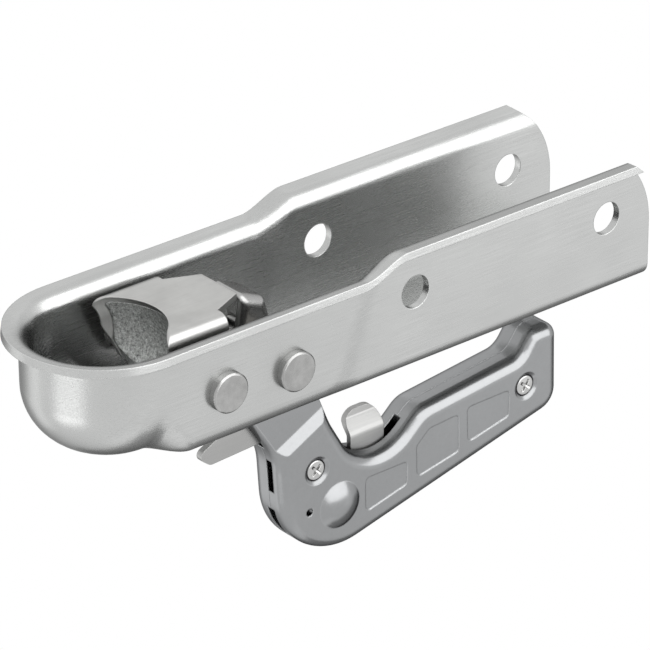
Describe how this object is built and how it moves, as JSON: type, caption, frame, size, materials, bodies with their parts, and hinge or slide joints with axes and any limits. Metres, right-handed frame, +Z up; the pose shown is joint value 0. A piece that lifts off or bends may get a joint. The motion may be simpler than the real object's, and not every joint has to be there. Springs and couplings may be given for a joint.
{
  "type": "trailer ball coupler",
  "caption": "Pressed steel trailer ball coupler: domed ball housing with a hinged jaw, cam lever with a split cast handle, sprung finger catch and an open rear channel for a drawbar.",
  "frame": {"origin": "centre of the tow ball when the coupler sits on it", "axes": "+X back along the channel to the drawbar, +Z up out of the crown, +Y to the side that carries the pan heads of the pivots"},
  "size_m": [0.2592, 0.0704, 0.1245],
  "materials": {
    "zinc_plated_steel": "bright zinc plating over pressed sheet, satin with fine rolling scratches",
    "rivet_steel": "bright zinc plating, turned",
    "spring_steel": "drawn spring wire, slightly darker",
    "cast_seat": "zinc plated casting with a rough skin",
    "handle_casting": "die cast, satin silver plated skin with glossy rims",
    "screw_steel": "bright zinc plated screws",
    "catch_steel": "bright plated stamped plate, polished on the curl"
  },
  "bodies": {
    "coupler": {"coupling_body": "zinc_plated_steel", "jaw_pin": "rivet_steel", "lever_pin": "rivet_steel", "pin_washers": "rivet_steel", "jaw_spacers": "rivet_steel", "lever_spacer": "rivet_steel", "spring_sleeve": "rivet_steel", "lever_bush": "rivet_steel", "lever_spring": "spring_steel"},
    "lever": {"lever_yoke": "zinc_plated_steel", "pointer": "zinc_plated_steel", "pointer_collars": "rivet_steel", "cross_pin": "rivet_steel", "catch_pin": "rivet_steel", "handle_shell_left": "handle_casting", "handle_shell_right": "handle_casting", "handle_screw_front": "screw_steel", "handle_screw_rear": "screw_steel", "catch_spring": "spring_steel"},
    "catch": {"finger_catch": "catch_steel"},
    "jaw": {"jaw_cover": "zinc_plated_steel", "jaw_seat": "cast_seat"}
  },
  "joints": [
    {"name": "lever_pivot", "type": "hinge", "parent": "coupler", "child": "lever", "pos_m": [0.0573, 0, 0.0103], "axis": [0, -1, 0], "range_deg": [0, 32], "stiffness_Nm_per_rad": 0.8, "springref_deg": -22.92, "deforming": ["lever_spring"]},
    {"name": "catch_pivot", "type": "hinge", "parent": "lever", "child": "catch", "pos_m": [0.0943, 0, 0.0855], "axis": [0, -1, 0], "range_deg": [0, 6], "stiffness_Nm_per_rad": 0.2, "springref_deg": -17.19, "deforming": ["catch_spring"]},
    {"name": "jaw_pivot", "type": "hinge", "parent": "coupler", "child": "jaw", "pos_m": [0.028, 0, 0.0084], "axis": [0, -1, 0], "range_deg": [0, 20]}
  ],
  "couplings": [
    {"joint": "jaw_pivot", "follows": "lever_pivot", "ratio": 0.625}
  ]
}
